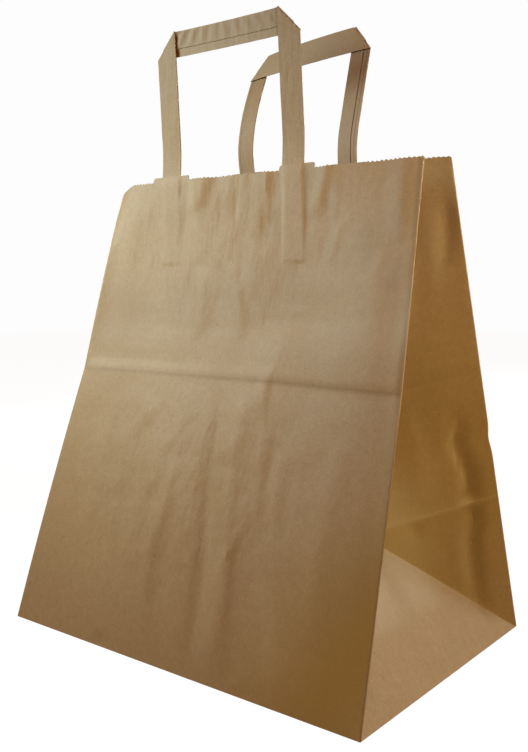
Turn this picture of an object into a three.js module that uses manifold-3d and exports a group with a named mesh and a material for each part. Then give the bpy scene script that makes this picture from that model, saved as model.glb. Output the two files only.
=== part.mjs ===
// A brown paper carrier bag with a block bottom and two flat paper-strip handles, standing open.
// Millimetres, +Z up. The origin is the middle of the base, and the front panel faces -Y.
//
// The body is one folded sheet. Its fold lines run up the bag, each a function of v, the height
// along the sheet from the bottom fold to the mouth. The skin is spanned between neighbouring
// folds, row by row, and then given the thickness of the paper.
import * as THREE from 'three';
import { mergeVertices } from 'three/addons/utils/BufferGeometryUtils.js';
import Module from 'manifold-3d';

const wasm = await Module();
wasm.setup();

// The sheet
const panelWidth = 320; // front and rear panels at the base, fold to fold
const baseDepth = 214; // block bottom, which is also the flat width of a gusset
const sheetHeight = 354; // bottom fold to mouth, along the sheet
const paperThickness = 0.5;
const foldWidth = 1.8; // the blunt edge of a corner fold

// How the bag stands open
const frontSetBack = 94; // the front panel's mouth behind its bottom fold
const mouthDepthRight = 36; // front to rear panel at the mouth
const mouthDepthLeft = 98;
const rightFoldInset = 8; // the right corner folds draw in by this at the mouth
const rearLeftInset = 8;
const frontLeftInset = 11; // the front left corner is softer and draws in more
const frontLeftPinch = 13; // the same corner where the flap crease weakens it
const cornerSoftness = 30; // reach of the soft bend at the front left corner of the mouth
const cornerSteps = 6;
const cornerSag = 8; // how far the mouth dips round that corner
const sagPower = 10; // the dip fades out this fast down the sheet
const rearStrips = 16; // the rear panel is twisted, so it is spanned in strips

// The mark that the folded-up bottom left across the front panel
const creaseHeight = 199;
const creaseBand = 11;
const creaseDip = 4; // how far the panel is broken inwards along the crease
const creaseRidge = 0.8; // how far the band above it stands out

// The cut edge of the mouth
const toothPitch = 3.5;
const toothDepth = 1;
const mouthBand = 5; // the sheet below the teeth, down to the last row
const tabWidth = 39; // straight-cut tab in front of each handle leg
const tabRise = 3.5;
const tabBevel = 1.5;

// The handles
const stripWidth = 19.5;
const stripThickness = 0.6;
const legLength = 185; // foot of a leg to the top edge of the bar
const glueClearance = 0.35;
const bendLength = 26; // the leg turns from the panel's lean to its own over this length
const legSteps = 14;
const frontLoopWidth = 141; // over both legs
const frontLoopHeight = 116; // mouth to the top edge of the bar
const frontLoopCentre = -15;
const frontLoopLean = -3; // degrees from upright, towards the rear
const rearLoopWidth = 137;
const rearLoopHeight = 107;
const rearLoopCentre = -2;
const rearLoopLean = 11.5;
const rearLoopDrop = 6; // the rear loop's left leg is set lower than its right
const rearLeftLegBow = 5; // and is bowed towards the front
const plyOverlap = 0.02; // the bar is glued to the legs, so the plies share this much

const halfWidth = panelWidth / 2;
const halfDepth = baseDepth / 2;
const rearSetBackRight = baseDepth - frontSetBack - mouthDepthRight;
const rearSetBackLeft = baseDepth - frontSetBack - mouthDepthLeft;
const weldDistance = 0.01; // points closer than this are one
const samePlane = 0.9999; // cosine between faces that count as one plane
const valley = sheetHeight - toothDepth;
const lastRow = sheetHeight - mouthBand;

const vec = (x, y, z) => new THREE.Vector3(x, y, z);
const mix = (a, b, s) => a.clone().lerp(b, s);
const rise = (setBack) => Math.sqrt(1 - (setBack / sheetHeight) ** 2);

// Zero at the base and the mouth, one at the flap crease, straight between
function creaseShare(v) {
  if (v < creaseHeight) return v / creaseHeight;
  return Math.max(0, (sheetHeight - v) / (sheetHeight - creaseHeight));
}

// A point of the front panel, x across it and v up the sheet
function frontPanel(x, v) {
  const ridge = Math.max(0, 1 - Math.abs(v - creaseHeight - creaseBand) / creaseBand);
  const broken = creaseDip * creaseShare(v) - creaseRidge * ridge;
  return vec(x, -halfDepth + (frontSetBack * v) / sheetHeight + broken, v * rise(frontSetBack));
}

// A point of the rear panel, which leans less on its left side than on its right
function rearPanel(x, v) {
  const setBack = THREE.MathUtils.mapLinear(x, -halfWidth, halfWidth, rearSetBackLeft, rearSetBackRight);
  return vec(x, halfDepth - (setBack * v) / sheetHeight, v * rise(setBack));
}

// Corner folds. Each has two columns, because a fold in paper is a blunt edge and not a line.
const rightX = (v) => halfWidth - (rightFoldInset * v) / sheetHeight;
const frontRight = (v) => frontPanel(rightX(v), v);
const frontRightReturn = (v) => frontRight(v).add(vec(0, foldWidth, 0));
const rearRight = (v) => rearPanel(rightX(v), v);
const rearRightReturn = (v) => rearRight(v).sub(vec(0, foldWidth, 0));
const leftX = (v) => -halfWidth + (rearLeftInset * v) / sheetHeight;
const rearLeft = (v) => rearPanel(leftX(v), v);
const rearLeftReturn = (v) => rearLeft(v).sub(vec(0, foldWidth, 0));
function frontLeftCorner(v) {
  const toMouth = THREE.MathUtils.clamp((v - creaseHeight) / (sheetHeight - creaseHeight), 0, 1);
  const inset = v < creaseHeight ? (frontLeftPinch * v) / creaseHeight
    : THREE.MathUtils.lerp(frontLeftPinch, frontLeftInset, toMouth);
  return frontPanel(-halfWidth + inset, v);
}

// The centre crease of a gusset. Below its apex it lies in the triangle that folds up from the
// base, whose sides run at 45 degrees on the flat sheet. Above the apex it runs straight to the
// mouth, where both halves of the gusset reach it at their own width.
function gussetCrease(side, frontColumn, rearColumn, rearSetBack) {
  const lean = Math.asin((frontSetBack + rearSetBack) / 2 / sheetHeight);
  const apexHeight = halfDepth * Math.tan(Math.PI / 4 - lean / 2);
  const apexInset = Math.sqrt(halfDepth ** 2 - apexHeight ** 2);
  const foot = vec(side * halfWidth, 0, 0);
  const apex = vec(side * (halfWidth - apexInset), 0, apexHeight);
  const front = frontColumn(sheetHeight);
  const rear = rearColumn(sheetHeight);
  const middle = mix(front, rear, 0.5);
  const half = Math.hypot(rear.x - front.x, rear.y - front.y) / 2;
  const reach = Math.sqrt((halfDepth - foldWidth) ** 2 - half ** 2);
  const inwards = vec(front.y - rear.y, rear.x - front.x, 0).normalize();
  if (inwards.x * side > 0) inwards.negate();
  const top = middle.addScaledVector(inwards, reach);
  const across = Math.hypot(top.x - apex.x, top.y - apex.y);
  top.z = apex.z + Math.sqrt((sheetHeight - halfDepth) ** 2 - across ** 2);
  const above = (v) => (v - halfDepth) / (sheetHeight - halfDepth);
  return (v) => (v < halfDepth ? mix(foot, apex, v / halfDepth) : mix(apex, top, above(v)));
}
const creaseRight = gussetCrease(1, frontRightReturn, rearRightReturn, rearSetBackRight);
const creaseLeft = gussetCrease(-1, frontLeftCorner, rearLeftReturn, rearSetBackLeft);

// The soft front left corner: a bend between the gusset and the front panel that opens upwards
function cornerBend(step) {
  const s = step / cornerSteps;
  return (v) => {
    const reach = cornerSoftness * (v / sheetHeight) ** 2;
    const corner = frontLeftCorner(v);
    const onGusset = corner.clone().addScaledVector(creaseLeft(v).sub(corner).normalize(), reach);
    const onPanel = corner.clone().add(vec(reach, 0, 0));
    const sag = cornerSag * Math.sin(Math.PI * s) * (v / sheetHeight) ** sagPower;
    return mix(mix(onGusset, corner, s), mix(corner, onPanel, s), s).sub(vec(0, 0, sag));
  };
}

// Straight tabs of the mouth stand in front of the handle legs, at these places across a panel
function legPlaces(centre, loopWidth) {
  const offset = (loopWidth - stripWidth) / 2;
  return [centre - offset, centre + offset];
}
const frontLegs = legPlaces(frontLoopCentre, frontLoopWidth);
const rearLegs = legPlaces(rearLoopCentre, rearLoopWidth);

// The spans of the sheet, in order round the bag, anticlockwise from the front left bend. at(s, v)
// is the point at share s between the span's two folds.
const spans = [];
function span(from, to, { at = (s, v) => mix(from(v), to(v), s), strips = 1, ...rest } = {}) {
  spans.push({ at, strips, ...rest });
}
span(cornerBend(cornerSteps), frontRight, { teeth: true, tabs: frontLegs });
span(frontRight, frontRightReturn);
span(frontRightReturn, creaseRight, { teeth: true });
span(creaseRight, rearRightReturn, { teeth: true, fallingFold: true });
span(rearRightReturn, rearRight);
span(rearRight, rearLeft, {
  at: (s, v) => rearPanel(THREE.MathUtils.lerp(rightX(v), leftX(v), s), v),
  strips: rearStrips,
  teeth: true,
  tabs: rearLegs,
});
span(rearLeft, rearLeftReturn);
span(rearLeftReturn, creaseLeft, { teeth: true });
span(creaseLeft, cornerBend(0), { teeth: true, fallingFold: true });
for (let i = 0; i < cornerSteps; i += 1) span(cornerBend(i), cornerBend(i + 1));

// Heights along the sheet where the skin has a row of points
const aboveCrease = creaseHeight + 2 * creaseBand;
const rows = [
  0, halfDepth, (halfDepth + creaseHeight) / 2, creaseHeight, creaseHeight + creaseBand, aboveCrease,
  (2 * aboveCrease + lastRow) / 3, (aboveCrease + 2 * lastRow) / 3, lastRow,
];

// The cut edge of a span as [share across, height], from its first fold to its second
function mouthEdge({ at, teeth, tabs = [] }) {
  const edge = [[0, valley]];
  if (teeth) {
    const count = Math.max(1, Math.round(at(0, valley).distanceTo(at(1, valley)) / toothPitch));
    for (let i = 0; i < count; i += 1) {
      edge.push([(i + 0.5) / count, sheetHeight]);
      if (i < count - 1) edge.push([(i + 1) / count, valley]);
    }
  }
  edge.push([1, valley]);
  return tabs.reduce((cut, place) => cutTab(cut, at(0, valley).x, at(1, valley).x, place), edge);
}

// Replaces the teeth round one handle leg by the straight outline of its tab
function cutTab(edge, startX, endX, place) {
  const share = (x) => (x - startX) / (endX - startX);
  const [left, right] = [share(place - tabWidth / 2), share(place + tabWidth / 2)].sort((a, b) => a - b);
  const bevel = tabBevel / Math.abs(endX - startX);
  const top = sheetHeight + tabRise;
  const before = edge.filter(([s]) => s < left);
  const after = edge.filter(([s]) => s > right);
  const rising = [[left, valley], [left, top - tabBevel], [left + bevel, top]];
  const falling = [[right - bevel, top], [right, top - tabBevel], [right, valley]];
  return [...before, ...rising, ...falling, ...after];
}

// The outer skin as loose triangles, seen anticlockwise from outside
function outerSkin() {
  const triangles = [];
  for (const { at, strips, fallingFold, ...edge } of spans) {
    const shares = Array.from({ length: strips + 1 }, (_, k) => k / strips);
    for (let k = 0; k < strips; k += 1) {
      for (let i = 0; i + 1 < rows.length; i += 1) {
        const [a, b] = [at(shares[k], rows[i]), at(shares[k + 1], rows[i])];
        const [d, c] = [at(shares[k], rows[i + 1]), at(shares[k + 1], rows[i + 1])];
        if (fallingFold) triangles.push([a, b, d], [b, c, d]);
        else triangles.push([a, b, c], [a, c, d]);
      }
    }
    const outline = [...shares.map((s) => [s, lastRow]), ...mouthEdge({ at, ...edge }).reverse()];
    const width = at(0, valley).distanceTo(at(1, valley));
    const flat = outline.map(([s, v]) => new THREE.Vector2(s * width, v));
    triangles.push(...fill(flat, outline.map(([s, v]) => at(s, v)), 1));
  }
  const foot = ({ at, strips }) => Array.from({ length: strips }, (_, k) => at(k / strips, 0));
  const ring = spans.flatMap(foot);
  const corners = ring.filter((p, i) => p.distanceTo(ring[(i + 1) % ring.length]) > weldDistance);
  triangles.push(...fill(corners.map(({ x, y }) => new THREE.Vector2(x, y)), corners, -1));
  return triangles;
}

// Fills a flat outline with triangles that turn one way, and puts them in their places
function fill(flat, places, turn) {
  return THREE.ShapeUtils.triangulateShape(flat, []).map(([a, b, c]) => {
    const area = flat[b].clone().sub(flat[a]).cross(flat[c].clone().sub(flat[a]));
    return (area * turn > 0 ? [a, b, c] : [a, c, b]).map((i) => places[i]);
  });
}

// Merges loose triangles into points and indices, without the ones that fold into a line
function weld(triangles) {
  const geometry = new THREE.BufferGeometry().setFromPoints(triangles.flat());
  const welded = mergeVertices(geometry, weldDistance);
  const position = welded.getAttribute('position');
  const points = Array.from({ length: position.count }, (_, i) => vec().fromBufferAttribute(position, i));
  const index = welded.getIndex().array;
  const faces = [];
  for (let i = 0; i < index.length; i += 3) {
    const [a, b, c] = [index[i], index[i + 1], index[i + 2]];
    if (a !== b && b !== c && c !== a) faces.push([a, b, c]);
  }
  return { points, faces };
}

// Moves a point behind every face that meets there by the same distance
function insetPoint(point, normals, distance) {
  const distinct = [];
  for (const n of normals) if (distinct.every((m) => m.dot(n) < samePlane)) distinct.push(n);
  const stiffness = 0.002;
  const m = [stiffness, 0, 0, 0, stiffness, 0, 0, 0, stiffness];
  const pull = vec(0, 0, 0);
  for (const n of distinct) {
    const c = n.toArray();
    for (let i = 0; i < 9; i += 1) m[i] += c[Math.floor(i / 3)] * c[i % 3];
    pull.addScaledVector(n, -distance);
  }
  return pull.applyMatrix3(new THREE.Matrix3().set(...m).invert()).add(point);
}

// Gives an open skin the thickness of the paper, on its inside
function thicken({ points, faces }, thickness) {
  const normals = points.map(() => []);
  const borders = new Map();
  for (const face of faces) {
    const [a, b, c] = face.map((i) => points[i]);
    const normal = b.clone().sub(a).cross(c.clone().sub(a)).normalize();
    face.forEach((i, k) => {
      normals[i].push(normal);
      const next = face[(k + 1) % 3];
      if (!borders.delete(`${next} ${i}`)) borders.set(`${i} ${next}`, [i, next]);
    });
  }
  const inner = points.map((p, i) => insetPoint(p, normals[i], thickness));
  const count = points.length;
  const shell = [...faces];
  for (const [a, b, c] of faces) shell.push([a + count, c + count, b + count]);
  for (const [a, b] of borders.values()) shell.push([b, a, a + count], [b, a + count, b + count]);
  return toGeometry([...points, ...inner].flatMap((p) => p.toArray()), shell.flat());
}

function toGeometry(coordinates, index) {
  const geometry = new THREE.BufferGeometry();
  geometry.setAttribute('position', new THREE.Float32BufferAttribute(coordinates, 3));
  geometry.setIndex(index);
  geometry.computeVertexNormals();
  return geometry;
}

// A paper strip as a solid: each row holds the strip's two edges and the side that its back is on
function stripSolid(stripRows, thickness) {
  const [first, second] = stripRows;
  const across = first.right.clone().sub(first.left);
  const facesBack = across.cross(second.left.clone().sub(first.left)).dot(first.back) > 0;
  const corners = stripRows.flatMap(({ left, right, back }) => {
    const [a, b] = facesBack ? [left, right] : [right, left];
    return [a, b, b.clone().addScaledVector(back, thickness), a.clone().addScaledVector(back, thickness)];
  });
  const triangles = [[0, 1, 2], [0, 2, 3]];
  for (let i = 0; i + 1 < stripRows.length; i += 1) {
    for (let k = 0; k < 4; k += 1) {
      const [a, b] = [4 * i + k, 4 * i + ((k + 1) % 4)];
      triangles.push([a, a + 4, b + 4], [a, b + 4, b]);
    }
  }
  const end = 4 * (stripRows.length - 1);
  triangles.push([end, end + 2, end + 1], [end, end + 3, end + 2]);
  const vertProperties = new Float32Array(corners.flatMap((p) => p.toArray()));
  const triVerts = new Uint32Array(triangles.flat());
  return new wasm.Manifold(new wasm.Mesh({ numProp: 3, vertProperties, triVerts }));
}

// One leg: glued to the inside of its panel, then bent to the loop's own lean, and cut at 45
// degrees where it folds over into the bar. outerSide is the side of the leg away from the loop.
function legRows({ panel, inside, lean, height, place, outerSide, bow }) {
  const depth = paperThickness + glueClearance;
  const foot = sheetHeight + height - legLength;
  const edges = [place - stripWidth / 2, place + stripWidth / 2];
  const across = panel(edges[1], sheetHeight).sub(panel(edges[0], sheetHeight)).normalize();
  const panelUp = panel(place, sheetHeight).sub(panel(place, foot)).normalize();
  const facing = panelUp.clone().cross(across).multiplyScalar(inside).normalize();
  const loopUp = vec(0, Math.sin(lean), Math.cos(lean));
  loopUp.addScaledVector(across, -loopUp.dot(across)).normalize();
  const legs = [foot, (foot + sheetHeight) / 2, sheetHeight].map((v) => {
    const [left, right] = edges.map((x) => panel(x, v).addScaledVector(facing, depth));
    return { left, right, back: facing };
  });
  const middle = mix(legs[2].left, legs[2].right, 0.5);
  const step = (height - stripWidth) / legSteps;
  const addRow = (centre, up, lift) => {
    const back = up.clone().cross(across).multiplyScalar(inside).normalize();
    const [left, right] = [-1, 1].map((side) => {
      const raised = side === outerSide ? 0 : lift;
      return centre.clone().addScaledVector(across, (side * stripWidth) / 2).addScaledVector(up, raised);
    });
    legs.push({ left, right, back });
  };
  for (let i = 1; i <= legSteps; i += 1) {
    const turned = THREE.MathUtils.clamp(((i - 0.5) * step - tabRise) / bendLength, 0, 1);
    const up = mix(panelUp, loopUp, turned).normalize();
    middle.addScaledVector(up, step);
    const bowed = middle.clone().add(vec(0, -bow * Math.sin((Math.PI * i) / legSteps), 0));
    addRow(bowed, up, i < legSteps ? 0 : stripWidth);
  }
  return legs;
}

// One handle: a strip folded at 45 degrees at its two corners. The bar lies behind the legs, on
// the side towards the middle of the bag, and the plies are glued where they cross.
function handleSolid({ panel, inside, height, legs, leanDegrees, leftDrop = 0, leftBow = 0 }) {
  const common = { panel, inside, lean: THREE.MathUtils.degToRad(leanDegrees) };
  const left = { height: height - leftDrop, place: legs[0], outerSide: -1, bow: leftBow };
  const right = { height, place: legs[1], outerSide: 1, bow: 0 };
  const [leftLeg, rightLeg] = [left, right].map((leg) => legRows({ ...common, ...leg }));
  const leftEnd = leftLeg.at(-1);
  const rightEnd = rightLeg.at(-1);
  const behind = stripThickness - plyOverlap;
  const barRow = ({ left, right, back }, flip) => {
    const [foot, top] = flip ? [right, left] : [left, right];
    const moved = [foot, top].map((p) => p.clone().addScaledVector(back, behind));
    return { left: moved[1], right: moved[0], back };
  };
  const bar = [barRow(leftEnd, false), barRow(rightEnd, true)];
  const solids = [leftLeg, rightLeg, bar].map((stripRows) => stripSolid(stripRows, stripThickness));
  return solids[0].add(solids[1]).add(solids[2]);
}

function manifoldGeometry(solid) {
  const { numProp, vertProperties, triVerts } = solid.getMesh();
  const coordinates = [];
  for (let i = 0; i < vertProperties.length; i += numProp) {
    coordinates.push(...vertProperties.slice(i, i + 3));
  }
  return toGeometry(coordinates, Array.from(triVerts));
}

function kraft(color) {
  return new THREE.MeshStandardMaterial({ color, roughness: 0.85, metalness: 0, flatShading: true });
}

const group = new THREE.Group();
function addPiece(name, geometry, color) {
  const mesh = new THREE.Mesh(geometry, kraft(color));
  mesh.name = name;
  group.add(mesh);
}

addPiece('bag_body', thicken(weld(outerSkin()), paperThickness), '#a98b62');
const frontLoop = handleSolid({
  panel: frontPanel,
  inside: 1,
  height: frontLoopHeight,
  legs: frontLegs,
  leanDegrees: frontLoopLean,
});
addPiece('front_handle', manifoldGeometry(frontLoop), '#a89270');
const rearLoop = handleSolid({
  panel: rearPanel,
  inside: -1,
  height: rearLoopHeight,
  legs: rearLegs,
  leanDegrees: rearLoopLean,
  leftDrop: rearLoopDrop,
  leftBow: rearLeftLegBow,
});
addPiece('rear_handle', manifoldGeometry(rearLoop), '#a0825f');

export default group;
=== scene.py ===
# %% [markdown]
# # A brown paper carrier bag
#
# The object is a block-bottom carrier bag of unprinted kraft paper, standing open on its base. It
# is made of three pieces of paper: one large sheet that is folded and glued into the bag, and two
# paper strips that are the handles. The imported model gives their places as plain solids. This
# lesson folds each piece again as thin paper, with the creases, dents and cut edges that make it
# look like paper, and then gives it a finish.

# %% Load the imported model
import math

import bmesh
import bpy
import numpy as np
from mathutils import Matrix, Vector


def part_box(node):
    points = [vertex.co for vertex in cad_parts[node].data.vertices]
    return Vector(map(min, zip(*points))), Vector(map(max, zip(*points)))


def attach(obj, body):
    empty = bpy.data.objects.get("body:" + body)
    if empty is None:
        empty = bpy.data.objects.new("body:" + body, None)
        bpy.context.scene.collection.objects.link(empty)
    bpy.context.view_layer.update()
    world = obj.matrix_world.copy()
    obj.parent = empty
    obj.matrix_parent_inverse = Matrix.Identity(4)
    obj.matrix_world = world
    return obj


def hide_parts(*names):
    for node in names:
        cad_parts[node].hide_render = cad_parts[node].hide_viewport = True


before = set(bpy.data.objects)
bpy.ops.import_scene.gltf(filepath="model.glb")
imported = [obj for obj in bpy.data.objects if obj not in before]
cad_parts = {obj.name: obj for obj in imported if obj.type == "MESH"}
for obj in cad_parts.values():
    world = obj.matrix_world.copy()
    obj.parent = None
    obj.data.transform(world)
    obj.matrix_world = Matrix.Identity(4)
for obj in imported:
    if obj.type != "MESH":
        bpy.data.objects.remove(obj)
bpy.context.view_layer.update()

MM = 0.001

# %% [markdown]
# ## The camera
#
# The picture was taken from a little above the middle of the bag, with the optical axis above the
# middle of the frame. A shifted lens keeps the uprights as they are in the picture, where a tilted
# camera would make them lean.

# %% Set the camera
PICTURE_HEIGHT = 752
FOCAL_PIXELS = 918.7
AXIS_ROW = 300.0
SENSOR_MM = 36.0
CAMERA_PLACE = Vector((443.3, -538.4, 269.2)) * MM
AZIMUTH, ELEVATION, ROLL = math.radians(38.97), math.radians(1.86), math.radians(-0.83)

back = Vector((
    math.sin(AZIMUTH) * math.cos(ELEVATION),
    -math.cos(AZIMUTH) * math.cos(ELEVATION),
    math.sin(ELEVATION),
))
level = Vector((0, 0, 1)).cross(back).normalized()
upright = back.cross(level)
right = math.cos(ROLL) * level + math.sin(ROLL) * upright
above = math.cos(ROLL) * upright - math.sin(ROLL) * level
camera_data = bpy.data.cameras.new("photo_camera")
camera_data.sensor_width = SENSOR_MM
camera_data.lens = FOCAL_PIXELS / PICTURE_HEIGHT * SENSOR_MM
camera_data.shift_y = (AXIS_ROW - PICTURE_HEIGHT / 2) / PICTURE_HEIGHT
camera = bpy.data.objects.new("photo_camera", camera_data)
camera.matrix_world = Matrix.Translation(CAMERA_PLACE) @ Matrix((right, above, back)).transposed().to_4x4()
bpy.context.scene.collection.objects.link(camera)
bpy.context.scene.camera = camera
print("lens in mm:", round(camera_data.lens, 1), "shift:", round(camera_data.shift_y, 3))

# %% [markdown]
# ## The folded sheet
#
# The bag is one sheet. Its fold lines run up the bag: four corner folds and a centre crease in
# each gusset. Every point of the sheet is known by its place along the sheet and its height v
# above the bottom fold, so the panels are written as functions of those two. A modelled box with
# loop cuts could be bent into the same shape, but then no crease would lie where the folding
# machine puts it.

# %% Sizes of the sheet, in millimetres
sheet_low, sheet_high = (np.array(corner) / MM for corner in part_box("bag_body"))
half_width = (sheet_high[0] - sheet_low[0]) / 2
half_depth = (sheet_high[1] - sheet_low[1]) / 2
SHEET_HEIGHT = 354.0
PAPER = 0.35
FOLD_WIDTH = 1.2

FRONT_SET_BACK = 94.0
MOUTH_DEPTH_RIGHT, MOUTH_DEPTH_LEFT = 36.0, 98.0
RIGHT_INSET, REAR_LEFT_INSET = 8.0, 8.0
FRONT_LEFT_INSET, FRONT_LEFT_PINCH = 11.0, 13.0
CORNER_SOFTNESS, CORNER_SAG, SAG_POWER = 30.0, 8.0, 10

CREASE_HEIGHT, CREASE_BAND = 199.0, 11.0
CREASE_DIP = 4.0

rear_back_right = 2 * half_depth - FRONT_SET_BACK - MOUTH_DEPTH_RIGHT
rear_back_left = 2 * half_depth - FRONT_SET_BACK - MOUTH_DEPTH_LEFT
print("panel", 2 * half_width, "gusset", 2 * half_depth, "sheet", SHEET_HEIGHT)

# %% The two panels
NEVER_ZERO = 1e-12


def point(x, y, z):
    return np.stack(np.broadcast_arrays(x, y, z), -1).astype(float)


def mix(a, b, share):
    return a + (b - a) * np.asarray(share)[..., None]


def smooth(low, high, x):
    t = np.clip((x - low) / (high - low), 0, 1)
    return t * t * (3 - 2 * t)


def unit(vectors):
    return vectors / (np.linalg.norm(vectors, axis=-1, keepdims=True) + NEVER_ZERO)


def rise(set_back):
    """How far the sheet rises for each millimetre of it, where it leans back."""
    return np.sqrt(1 - (set_back / SHEET_HEIGHT) ** 2)


# The dent that the stiff handle legs make: its depth, how round its peak is, and where it starts
HANDLE_DENT, DENT_ROUND, DENT_END = 9.0, 0.5, 50.0
# Across a panel: x where the dent starts, where it is full, where it is still full, where it ends
FRONT_ZONE = (-156.0, -72.0, 45.0, 150.0)
REAR_ZONE = (-140.0, -75.0, 75.0, 145.0)
LEG_FOOT = 285.0


def handle_dent(x, v, zone):
    """How far the stiff legs of a handle hold a panel inwards of its plane."""
    left, flat_left, flat_right, right_end = zone
    across = smooth(left, flat_left, x) * (1 - smooth(flat_right, right_end, x))
    from_mouth = (SHEET_HEIGHT - v) / (SHEET_HEIGHT - LEG_FOOT)
    from_base = smooth(DENT_END, LEG_FOOT, v)
    share = np.clip(0.5 + (from_base - from_mouth) / (2 * DENT_ROUND), 0, 1)
    rounded = from_base + (from_mouth - from_base) * share - DENT_ROUND * share * (1 - share)
    return HANDLE_DENT * across * np.maximum(rounded, 0)


def front_panel(x, v):
    below = v / CREASE_HEIGHT
    over = np.clip((SHEET_HEIGHT - v) / (SHEET_HEIGHT - CREASE_HEIGHT), 0, 1)
    broken = CREASE_DIP * np.where(v < CREASE_HEIGHT, below, over)
    y = -half_depth + FRONT_SET_BACK * v / SHEET_HEIGHT + broken + handle_dent(x, v, FRONT_ZONE)
    return point(x, y, v * rise(FRONT_SET_BACK))


def rear_panel(x, v):
    share = (x + half_width) / (2 * half_width)
    set_back = rear_back_left + (rear_back_right - rear_back_left) * share
    y = half_depth - set_back * v / SHEET_HEIGHT - handle_dent(x, v, REAR_ZONE)
    return point(x, y, v * rise(set_back))


mouth = np.array(SHEET_HEIGHT)
for name, panel in (("front", front_panel), ("rear", rear_panel)):
    print("middle of the", name, "panel's mouth in mm:", panel(np.array(0.0), mouth).round(1))


# %% The corner folds
KNOCK, KNOCK_HEIGHT, KNOCK_REACH = 1.4, 151.0, 7.0


def right_x(v):
    return half_width - RIGHT_INSET * v / SHEET_HEIGHT


def left_x(v):
    return -half_width + REAR_LEFT_INSET * v / SHEET_HEIGHT


def turned_back(fold, depth):
    """The second edge of a blunt corner fold, on the gusset."""
    def edge(v):
        return fold(v) + point(0 * v, depth + 0 * v, 0 * v)

    return edge


def front_right(v):
    return front_panel(right_x(v), v)


def rear_right_x(v):
    """The rear right fold is knocked in a little at one place."""
    return right_x(v) - KNOCK * np.exp(-(((v - KNOCK_HEIGHT) / KNOCK_REACH) ** 2))


def rear_right(v):
    return rear_panel(rear_right_x(v), v)


def rear_left(v):
    return rear_panel(left_x(v), v)


def front_left_corner(v):
    to_mouth = np.clip((v - CREASE_HEIGHT) / (SHEET_HEIGHT - CREASE_HEIGHT), 0, 1)
    upper = FRONT_LEFT_PINCH + (FRONT_LEFT_INSET - FRONT_LEFT_PINCH) * to_mouth
    inset = np.where(v < CREASE_HEIGHT, FRONT_LEFT_PINCH * v / CREASE_HEIGHT, upper)
    return front_panel(-half_width + inset, v)


front_right_return = turned_back(front_right, FOLD_WIDTH)
rear_right_return = turned_back(rear_right, -FOLD_WIDTH)
rear_left_return = turned_back(rear_left, -FOLD_WIDTH)
print("mouth at the right in mm:", front_right(mouth).round(1), rear_right(mouth).round(1))


# %% The gussets
MOUTH_BOW, BOW_START = 1.3, 180.0
INSIDE_TRIANGLE = 1e-6


def gusset_crease(side, front_fold, rear_fold, rear_back):
    """The centre crease of a gusset: up the base triangle to its apex, then to the mouth."""
    lean = math.asin((FRONT_SET_BACK + rear_back) / 2 / SHEET_HEIGHT)
    apex_height = half_depth * math.tan(math.pi / 4 - lean / 2)
    apex_inset = math.sqrt(half_depth ** 2 - apex_height ** 2)
    foot = np.array((side * half_width, 0, 0))
    apex = np.array((side * (half_width - apex_inset), 0, apex_height))
    front, rear = front_fold(mouth), rear_fold(mouth)
    gap = rear - front
    half = math.hypot(gap[0], gap[1]) / 2
    inwards = np.array((-gap[1], gap[0], 0)) / (2 * half)
    inwards *= -side * np.sign(inwards[0])
    end = (front + rear) / 2 + inwards * math.sqrt((half_depth - FOLD_WIDTH) ** 2 - half ** 2)
    across = math.hypot(*(end - apex)[:2])
    end[2] = apex[2] + math.sqrt((SHEET_HEIGHT - half_depth) ** 2 - across ** 2)

    def crease(v):
        v = np.asarray(v, float)
        low = mix(foot, apex, np.clip(v / half_depth, 0, 1))
        high = mix(apex, end, (v - half_depth) / (SHEET_HEIGHT - half_depth))
        return np.where((v < half_depth)[..., None], low, high)

    return crease


crease_right = gusset_crease(1, front_right_return, rear_right_return, rear_back_right)
crease_left = gusset_crease(-1, front_left_corner, rear_left_return, rear_back_left)


def corner_bend(share, v):
    """The soft front left corner, a bend that opens towards the mouth."""
    reach = FOLD_WIDTH / 4 + CORNER_SOFTNESS * (v / SHEET_HEIGHT) ** 2
    corner = front_left_corner(v)
    on_gusset = corner + unit(crease_left(v) - corner) * reach[..., None]
    on_panel = corner + point(reach, 0 * v, 0 * v)
    sag = CORNER_SAG * np.sin(np.pi * share) * (v / SHEET_HEIGHT) ** SAG_POWER
    bend = mix(mix(on_gusset, corner, share), mix(corner, on_panel, share), share)
    return bend - point(0 * v, 0 * v, sag)


def gusset_half(corner, crease):
    """A gusset half: its wing folds over the base triangle along a line at 45 degrees.

    At the mouth its edge bows, so that it stays level beside the corner fold.
    """
    start = corner(np.array(0.0))
    apex = crease(np.array(half_depth))

    def at(share, v):
        t = np.clip(v / half_depth, INSIDE_TRIANGLE, 1 - INSIDE_TRIANGLE)
        fold = mix(start, apex, t)
        wing = mix(corner(v), fold, np.clip(share / t, 0, 1))
        triangle = mix(fold, crease(v), np.clip((share - t) / (1 - t), 0, 1))
        low = np.where((share <= t)[..., None], wing, triangle)
        drop = corner(v)[..., 2] - crease(v)[..., 2]
        bow = MOUTH_BOW * drop * share * (1 - share) * smooth(BOW_START, SHEET_HEIGHT, v)
        high = mix(corner(v), crease(v), share) + point(0 * bow, 0 * bow, bow)
        return np.where((v < half_depth)[..., None], low, high)

    return at


print("gusset apexes in mm:", crease_right(half_depth).round(), crease_left(half_depth).round())
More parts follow.
